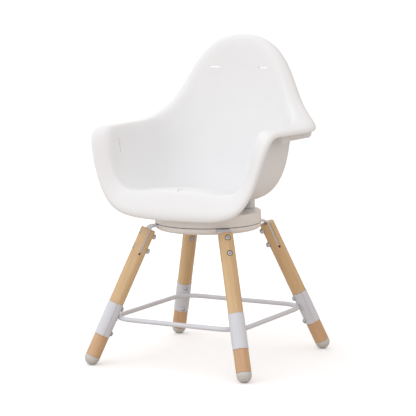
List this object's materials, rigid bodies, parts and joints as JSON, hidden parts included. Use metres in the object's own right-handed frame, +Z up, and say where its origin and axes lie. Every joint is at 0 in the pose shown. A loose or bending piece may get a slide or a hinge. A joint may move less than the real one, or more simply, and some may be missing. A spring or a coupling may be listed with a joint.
{
  "type": "baby high chair",
  "caption": "Baby high chair: moulded bucket seat with armrests on a swivel disc, splayed round beech legs in metal sleeves and a bent-rod footrest.",
  "frame": {"origin": "on the floor, where the swivel axis meets it: the middle of the four feet", "axes": "+Z up along the swivel axis; -Y is the way the seat faces at rest, so +Y is its back; +X is the left hand of a child in the seat. The feet lie on the diagonals"},
  "size_m": [0.4456, 0.4032, 0.6993],
  "materials": {
    "shell": "white moulded plastic with a soft satin skin",
    "turntable": "warm grey-white moulded plastic, satin gloss",
    "steel_white": "cool white powder coat on steel",
    "steel_bare": "bright zinc plating",
    "beech": "turned beech with a clear satin lacquer",
    "cap": "warm light grey moulded plastic",
    "bearing": "natural acetal, unpainted"
  },
  "bodies": {
    "base": {"base_frame": "steel_white", "base_cover": "turntable", "bearing_ring": "bearing", "pivot_bolt": "steel_bare", "pivot_nut": "steel_bare", "upper_leg_1": "beech", "lower_leg_1": "beech", "foot_cap_1": "cap", "sleeve_outer_1": "steel_white", "leg_bolt_1_upper": "steel_bare", "leg_nut_1_upper": "steel_bare", "sleeve_screw_1_upper": "steel_bare", "leg_bolt_1_lower": "steel_bare", "leg_nut_1_lower": "steel_bare", "sleeve_screw_1_lower": "steel_bare", "upper_leg_2": "beech", "lower_leg_2": "beech", "foot_cap_2": "cap", "sleeve_outer_2": "steel_white", "leg_bolt_2_upper": "steel_bare", "leg_nut_2_upper": "steel_bare", "sleeve_screw_2_upper": "steel_bare", "leg_bolt_2_lower": "steel_bare", "leg_nut_2_lower": "steel_bare", "sleeve_screw_2_lower": "steel_bare", "upper_leg_3": "beech", "lower_leg_3": "beech", "foot_cap_3": "cap", "sleeve_outer_3": "steel_white", "leg_bolt_3_upper": "steel_bare", "leg_nut_3_upper": "steel_bare", "sleeve_screw_3_upper": "steel_bare", "leg_bolt_3_lower": "steel_bare", "leg_nut_3_lower": "steel_bare", "sleeve_screw_3_lower": "steel_bare", "upper_leg_4": "beech", "lower_leg_4": "beech", "foot_cap_4": "cap", "sleeve_outer_4": "steel_white", "leg_bolt_4_upper": "steel_bare", "leg_nut_4_upper": "steel_bare", "sleeve_screw_4_upper": "steel_bare", "leg_bolt_4_lower": "steel_bare", "leg_nut_4_lower": "steel_bare", "sleeve_screw_4_lower": "steel_bare", "footrest": "steel_white"},
    "seat": {"seat_shell": "shell", "tray_rail_left": "shell", "tray_rail_right": "shell", "turntable_cover": "turntable", "upper_plate": "steel_bare", "seat_screw_1": "steel_bare", "seat_screw_2": "steel_bare", "seat_screw_3": "steel_bare", "seat_screw_4": "steel_bare"}
  },
  "joints": [
    {"name": "seat_swivel", "type": "hinge", "parent": "base", "child": "seat", "pos_m": [0, 0, 0.2992], "axis": [0, 0, 1], "range_deg": [-90, 90]}
  ]
}
